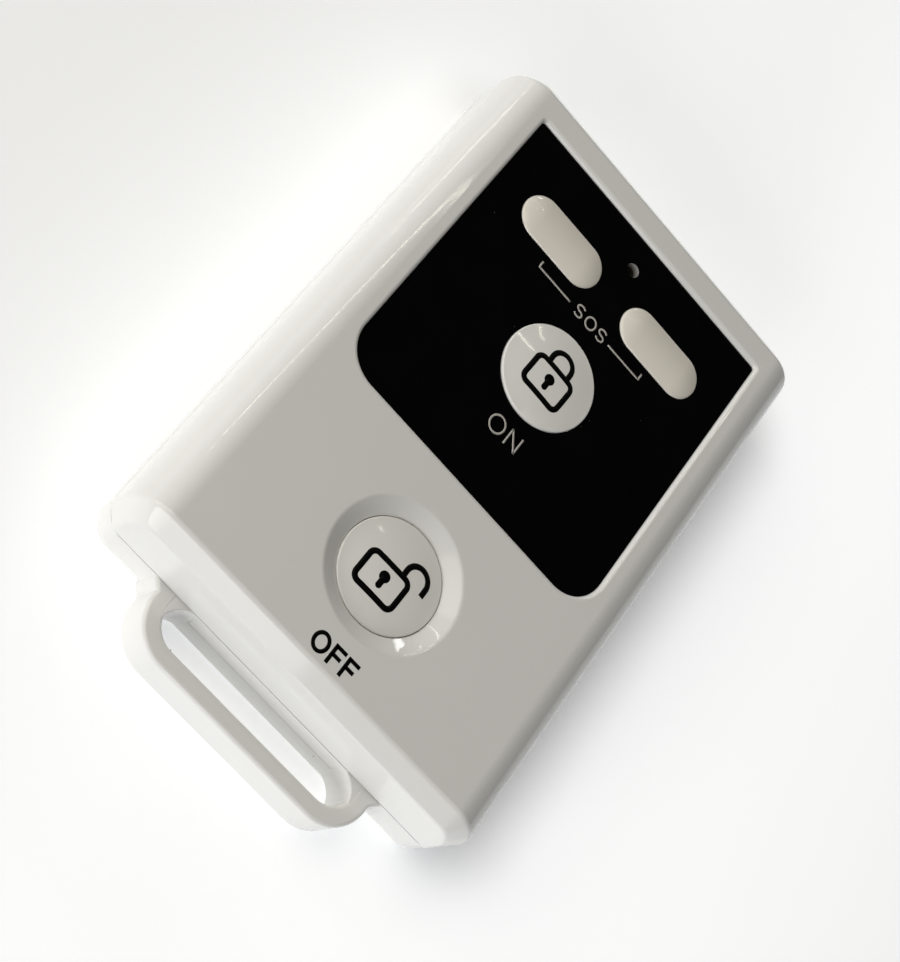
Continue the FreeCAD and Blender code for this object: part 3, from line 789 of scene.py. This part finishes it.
class REMOTE_OT_lettering(bpy.types.Operator):
    """ON and SOS in pale ink on the panel, OFF in black ink on the case"""

    bl_idname = "remote.lettering"
    bl_label = "Lettering"

    def letter_s(self, x, y, width, height):
        """Centre line of an S whose box centre is at x, y."""
        r = height / 4
        w = width / 2
        upper = arc((x, y + r), w, 25, 270, steps=20, squash=r / w)
        lower = arc((x, y - r), w, 90, -155, steps=20, squash=r / w)
        return upper + lower[1:]

    def print_on_case(self, name, lines, stroke, level, material):
        """Printed lines that stay with the case."""
        piece = printed_lines(name, lines, stroke, level)
        set_material(piece, material)
        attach(piece, "case")

    def execute(self, context):
        finishes = context.scene.remote_finishes
        prints = context.scene.remote_prints
        pale = ink("pale_ink", finishes.pale_ink)
        black = ink("black_ink", finishes.black_ink)
        self.print_on_case("sos_print", self.sos_lines(), prints.sos_stroke, PANEL_TOP, pale)
        self.print_on_case("on_print", self.on_lines(), prints.on_stroke, PANEL_TOP, pale)
        off_lines = self.off_lines(prints.off_stroke)
        self.print_on_case("off_print", off_lines, prints.off_stroke, FACE_TOP, black)
        return {"FINISHED"}

    def sos_lines(self):
        """SOS and the two halves of the bracket beside it."""
        middle = 17.33 * MM
        s_width = 0.84 * MM
        s_height = 1.25 * MM
        o_radius = 0.57 * MM
        o_squash = 0.63 / 0.57
        letters = [
            (self.letter_s(-1.5 * MM, middle, s_width, s_height), False),
            (ring((0, middle), o_radius, steps=36, squash=o_squash), True),
            (self.letter_s(1.46 * MM, middle, s_width, s_height), False),
        ]
        line = 17.20 * MM
        tick = 17.92 * MM
        bracket = [
            ([(inner, line), (outer, line), (outer, tick)], False)
            for inner, outer in ((-2.75 * MM, -6.97 * MM), (2.50 * MM, 6.72 * MM))
        ]
        return letters + bracket

    def on_lines(self):
        """ON, its N drawn as three strokes."""
        low = 1.62 * MM
        high = 3.42 * MM
        n_left = 0.44 * MM
        n_right = 1.73 * MM
        o_centre = (-0.98 * MM, 2.52 * MM)
        o_radius = 0.81 * MM
        o_squash = 0.88 / 0.81
        return [
            (ring(o_centre, o_radius, steps=40, squash=o_squash), True),
            ([(n_left, low), (n_left, high)], False),
            ([(n_left, high), (n_right, low)], False),
            ([(n_right, low), (n_right, high)], False),
        ]

    def off_lines(self, stroke):
        """OFF, each F drawn as a stem and two bars."""
        low = -25.27 * MM
        high = -23.30 * MM
        middle = -24.27 * MM
        o_centre = (-1.33 * MM, middle)
        o_radius = 0.88 * MM - stroke / 2
        o_squash = 0.82 / 0.70
        bar_start = 0.1 * MM
        upper_bar_end = 1.28 * MM
        middle_bar_end = 1.14 * MM
        lines = [(ring(o_centre, o_radius, steps=40, squash=o_squash), True)]
        for left in (-0.22 * MM, 1.28 * MM):
            stem = left + stroke / 2
            upper = high - stroke / 2
            lines.append(([(stem, low), (stem, high)], False))
            lines.append(([(left + bar_start, upper), (left + upper_bar_end, upper)], False))
            lines.append(([(left + bar_start, middle), (left + middle_bar_end, middle)], False))
        return lines


class REMOTE_OT_dust(bpy.types.Operator):
    """Dust specks on the panel and two small dark specks at the strap loop"""

    bl_idname = "remote.dust"
    bl_label = "Dust"

    def execute(self, context):
        random.seed(7)
        pale = ink("dust", (0.16, 0.15, 0.14))
        dark = ink("dark_speck", (0.02, 0.018, 0.015))

        # x, y and radius of each speck in millimetres
        on_panel = (
            (-5.01, 28.37, 0.050),
            (4.64, 28.27, 0.050),
            (9.25, 14.38, 0.045),
            (5.42, 10.12, 0.050),
            (5.16, 9.03, 0.035),
            (-5.28, 10.76, 0.045),
            (-13.22, 17.37, 0.040),
            (-14.97, 18.39, 0.030),
            (2.66, 18.20, 0.035),
        )
        specks = [self.speck(x * MM, y * MM, PANEL_TOP, radius * MM) for x, y, radius in on_panel]
        piece = join(specks, "panel_dust")
        set_material(piece, pale)
        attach(piece, "case")

        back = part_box("rear_case")[0].z
        loop_top = back + 4.6 * MM
        on_end_wall = loop_top - 2.6 * MM
        specks = [
            self.speck(-8.60 * MM, -30.98 * MM, loop_top, 0.070 * MM),
            self.speck(6.95 * MM, -27.37 * MM, on_end_wall, 0.055 * MM),
        ]
        piece = join(specks, "loop_specks")
        set_material(piece, dark)
        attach(piece, "case")
        return {"FINISHED"}

    def speck(self, x, y, level, radius):
        """Flat fleck that lies on a surface."""
        deselect_all()
        bpy.ops.mesh.primitive_ico_sphere_add(subdivisions=1, radius=radius, location=(x, y, level))
        piece = bpy.context.active_object
        piece.scale = (random.uniform(0.6, 1.6), random.uniform(0.5, 1.0), 0.35)
        piece.rotation_euler = Euler((0, 0, random.uniform(0, math.pi)))
        apply_place(piece)
        return piece


class REMOTE_OT_inner_parts(bpy.types.Operator):
    """Finishes of the lamp, the board and what the case holds"""

    bl_idname = "remote.inner_parts"
    bl_label = "Inner parts"

    def execute(self, context):
        compound = moulded_plastic("black_compound", (0.02, 0.02, 0.021), roughness=0.45)
        ceramic = moulded_plastic("tan_ceramic", (0.48, 0.34, 0.20), roughness=0.5, change=0.08)
        tin = metal("tinned_steel", (0.62, 0.62, 0.63), roughness=0.32)
        nickel = metal("nickel_steel", (0.66, 0.65, 0.62), roughness=0.26)
        zinc = metal("zinc_steel", (0.52, 0.53, 0.56), roughness=0.36)
        copper = metal("copper_foil", (0.72, 0.42, 0.24), roughness=0.30)
        board = laminate("green_laminate", (0.03, 0.17, 0.07))
        lamp = lamp_epoxy("lamp_epoxy")
        finishes = {
            "status_led": lamp,
            "circuit_board": board,
            "antenna_trace": copper,
            "cell_contact": copper,
            "coin_cell": nickel,
            "cell_clip": nickel,
            "case_screws": zinc,
            "resonator": tin,
            "arm_switch": tin,
            "disarm_switch": tin,
            "sos_switch_left": tin,
            "sos_switch_right": tin,
            "arm_plunger": compound,
            "disarm_plunger": compound,
            "sos_plunger_left": compound,
            "sos_plunger_right": compound,
            "code_chip": compound,
            "radio_transistor": compound,
            "code_resistor": compound,
            "bias_resistor": compound,
            "lamp_resistor": compound,
            "supply_capacitor": ceramic,
            "tuning_capacitor": ceramic,
        }
        for node, material in finishes.items():
            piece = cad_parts[node]
            for slot in piece.material_slots:
                slot.material = material
        return {"FINISHED"}


class REMOTE_OT_stage(bpy.types.Operator):
    """Pale floor, soft lights and the camera"""

    bl_idname = "remote.stage"
    bl_label = "Stage"

    floor_colour = (0.86, 0.86, 0.86)
    glow_colour = (0.95, 0.975, 1, 1)
    glow_reach = 0.12
    glow_stops = ((0.0, 0.50), (0.29, 0.56), (0.50, 0.88), (0.62, 1.0), (0.90, 0.80))
    patch_middle = (0.0025, 0.005)
    patch_reach = (0.0175, 0.0245)
    contact_reach = 0.010
    contact_level = 0.25
    bright_side = (-0.85, -0.53, 0.0)
    window_side = Vector((-0.84, 0.40, 0.31)).normalized()
    sky_colour = (0.97, 0.985, 1.0, 1)
    tube_width = 0.016

    def floor(self, studio):
        """Pale floor with a glow of its own, weaker to the left, and turned down round where the case
        stands as a painted contact shadow.
        """
        deselect_all()
        bpy.ops.mesh.primitive_plane_add(size=studio.floor_size, location=(0, 0, 0))
        floor = bpy.context.active_object
        floor.name = "floor"
        material, nodes, links, shader = new_material("floor_white")
        mottle = noise(nodes, links, scale=3.0)
        colour = tone(nodes, links, mottle, self.floor_colour, change=0.005)
        place = nodes.new("ShaderNodeTexCoord")
        split = nodes.new("ShaderNodeSeparateXYZ")
        links.new(place.outputs["Object"], split.inputs["Vector"])
        across = self.glow_across(nodes, links, split.outputs["X"])
        away = self.away_from_case(nodes, links, split)
        # Painted contact shadow: the floor's glow is turned down near the case's footprint.
        contact = map_range(
            nodes, links, away, start=0, end=self.contact_reach,
            low=self.contact_level, high=1, soft=True)
        glow = math_node(nodes, links, "MULTIPLY", across, studio.floor_glow)
        glow = math_node(nodes, links, "MULTIPLY", glow, contact)
        links.new(colour, shader.inputs["Base Color"])
        links.new(glow, shader.inputs["Emission Strength"])
        shader.inputs["Emission Color"].default_value = self.glow_colour
        shader.inputs["Roughness"].default_value = 0.9
        shader.inputs["Specular IOR Level"].default_value = 0.1
        set_material(floor, material)

    def glow_across(self, nodes, links, x):
        """Strength of the floor's glow from the left of the case to the right."""
        across = map_range(
            nodes, links, x, start=-self.glow_reach, end=self.glow_reach, low=0, high=1)
        fade = nodes.new("ShaderNodeValToRGB")
        ramp = fade.color_ramp
        ramp.interpolation = "EASE"
        ramp.elements[0].position = self.glow_stops[0][0]
        ramp.elements[1].position = self.glow_stops[-1][0]
        for position, _ in self.glow_stops[1:-1]:
            ramp.elements.new(position)
        for element, (_, level) in zip(ramp.elements, self.glow_stops):
            element.color = (level, level, level, 1)
        links.new(across, fade.inputs["Fac"])
        return fade.outputs["Color"]

    def away_from_case(self, nodes, links, split):
        """Distance on the floor from the edge of the case's shadow patch."""
        corner = nodes.new("ShaderNodeCombineXYZ")
        for axis, middle, reach in zip("XY", self.patch_middle, self.patch_reach):
            from_middle = math_node(nodes, links, "SUBTRACT", split.outputs[axis], middle)
            away = math_node(nodes, links, "ABSOLUTE", from_middle, 0)
            beyond = math_node(nodes, links, "SUBTRACT", away, reach)
            links.new(math_node(nodes, links, "MAXIMUM", beyond, 0), corner.inputs[axis])
        length = nodes.new("ShaderNodeVectorMath")
        length.operation = "LENGTH"
        links.new(corner.outputs["Vector"], length.inputs[0])
        return length.outputs["Value"]

    def area_light(self, name, width, height, power, colour):
        """Rectangular light that the camera doesn't see."""
        light = bpy.data.lights.new(name, "AREA")
        light.shape = "RECTANGLE"
        light.size = width
        light.size_y = height
        light.energy = power
        light.color = colour
        lamp = bpy.data.objects.new(name, light)
        lamp.visible_camera = False
        bpy.context.scene.collection.objects.link(lamp)
        return lamp

    def softbox(self, name, place, aim, width, height, power, colour=(1, 1, 1)):
        """Softbox turned to a point."""
        lamp = self.area_light(name, width, height, power, colour)
        lamp.location = place
        lamp.rotation_euler = (Vector(aim) - Vector(place)).to_track_quat("-Z", "Y").to_euler()

    def tube(self, name, start, end, power, colour):
        """Thin strip light between two points, turned to the remote control."""
        start = Vector(start)
        along = Vector(end) - start
        middle = start + along / 2
        facing = middle.normalized()
        x = along.normalized()
        z = x.cross(x.cross(facing).normalized())
        if z.dot(facing) < 0:
            z = -z
        y = z.cross(x)
        lamp = self.area_light(name, along.length, self.tube_width, power, colour)
        lamp.matrix_world = Matrix.Translation(middle) @ Matrix((x, y, z)).transposed().to_4x4()

    def surroundings(self, window_glow):
        """Bright round the horizon on the left and in front, dim overhead and on the right."""
        world = bpy.data.worlds.new("studio")
        bpy.context.scene.world = world
        world.use_nodes = True
        nodes = world.node_tree.nodes
        links = world.node_tree.links
        background = nodes["Background"]
        way = nodes.new("ShaderNodeTexCoord").outputs["Generated"]
        split = nodes.new("ShaderNodeSeparateXYZ")
        links.new(way, split.inputs["Vector"])
        band = map_range(
            nodes, links, split.outputs["Z"], start=0.02, end=0.55, low=1.0, high=0.05, soft=True)
        towards = along_direction(nodes, links, way, self.bright_side)
        side = map_range(
            nodes, links, towards, start=-0.9, end=0.7, low=0.20, high=0.6, soft=True)
        beside = along_direction(nodes, links, way, self.window_side)
        window = map_range(
            nodes, links, beside, start=0.55, end=1.0, low=0.0, high=window_glow, soft=True)
        horizon = math_node(nodes, links, "MULTIPLY", band, side)
        total = math_node(nodes, links, "ADD", horizon, window)
        links.new(total, background.inputs["Strength"])
        background.inputs["Color"].default_value = self.sky_colour

    def camera(self, studio):
        """Camera that stands where the photo was taken."""
        data = bpy.data.cameras.new("photo_camera")
        data.sensor_fit = "HORIZONTAL"
        data.sensor_width = 36
        data.lens = studio.camera_lens
        data.clip_start = 0.01
        data.clip_end = 50
        camera = bpy.data.objects.new("photo_camera", data)
        camera.location = studio.camera_place
        camera.rotation_euler = studio.camera_turn
        bpy.context.scene.collection.objects.link(camera)
        bpy.context.scene.camera = camera

    def execute(self, context):
        studio = context.scene.remote_studio
        context.scene.view_settings.view_transform = "Standard"
        self.floor(studio)
        self.surroundings(studio.window_glow)
        self.softbox(
            "key_softbox", place=(-0.252, -0.036, 0.336), aim=(0, 0, 0),
            width=0.34, height=0.42, power=studio.key_power, colour=studio.key_colour)
        self.softbox(
            "front_softbox", place=(-0.12, -0.60, 0.20), aim=(0, 0, 0.01),
            width=0.60, height=0.30, power=studio.front_power)
        self.softbox(
            "dish_softbox", place=(-0.18, 0.885, 0.405), aim=(0, -0.015, 0.01),
            width=0.13, height=0.07, power=studio.dish_power)
        self.tube(
            "near_tube", start=(0.115, 0.940, 1.2), end=(-1.50, 1.008, 1.2),
            power=studio.tube_power, colour=studio.tube_colour)
        self.tube(
            "middle_tube", start=(0.160, 1.197, 1.2), end=(-0.72, 1.60, 1.2),
            power=studio.tube_power * 0.6, colour=studio.tube_colour)
        self.tube(
            "far_tube", start=(-0.68, 0.70, 0.4), end=(-1.60, 1.19, 0.4),
            power=studio.tube_power * 0.4, colour=studio.tube_colour)
        self.camera(studio)
        return {"FINISHED"}


class REMOTE_PT_sidebar(bpy.types.Panel):
    """Lists the steps and settings of the remote control"""

    bl_idname = "REMOTE_PT_sidebar"
    bl_label = "Alarm remote control"
    bl_space_type = "VIEW_3D"
    bl_region_type = "UI"
    bl_category = "Remote"

    def draw(self, context):
        layout = self.layout
        for operator in OPERATORS:
            layout.operator(operator.bl_idname)
        for name in ("remote_finishes", "remote_prints", "remote_studio"):
            settings = getattr(context.scene, name)
            column = layout.column(heading=settings.bl_rna.name)
            for key in settings.bl_rna.properties.keys():
                if key not in ("rna_type", "name"):
                    column.prop(settings, key)


OPERATORS = (
    REMOTE_OT_stage,
    REMOTE_OT_front_case,
    REMOTE_OT_rear_case,
    REMOTE_OT_panel,
    REMOTE_OT_buttons,
    REMOTE_OT_padlocks,
    REMOTE_OT_lettering,
    REMOTE_OT_dust,
    REMOTE_OT_inner_parts,
)
GROUPS = (RemoteFinishes, RemotePrints, RemoteStudio)


def register():
    for cls in GROUPS + OPERATORS + (REMOTE_PT_sidebar,):
        bpy.utils.register_class(cls)
    bpy.types.Scene.remote_finishes = bpy.props.PointerProperty(type=RemoteFinishes)
    bpy.types.Scene.remote_prints = bpy.props.PointerProperty(type=RemotePrints)
    bpy.types.Scene.remote_studio = bpy.props.PointerProperty(type=RemoteStudio)


def unregister():
    del bpy.types.Scene.remote_studio
    del bpy.types.Scene.remote_prints
    del bpy.types.Scene.remote_finishes
    for cls in reversed(GROUPS + OPERATORS + (REMOTE_PT_sidebar,)):
        bpy.utils.unregister_class(cls)


def main():
    register()
    deselect_all()
    bpy.ops.remote.stage()
    bpy.ops.remote.front_case()
    bpy.ops.remote.rear_case()
    bpy.ops.remote.panel()
    bpy.ops.remote.buttons()
    bpy.ops.remote.padlocks()
    bpy.ops.remote.lettering()
    bpy.ops.remote.dust()
    bpy.ops.remote.inner_parts()


if __name__ == "__main__":
    main()
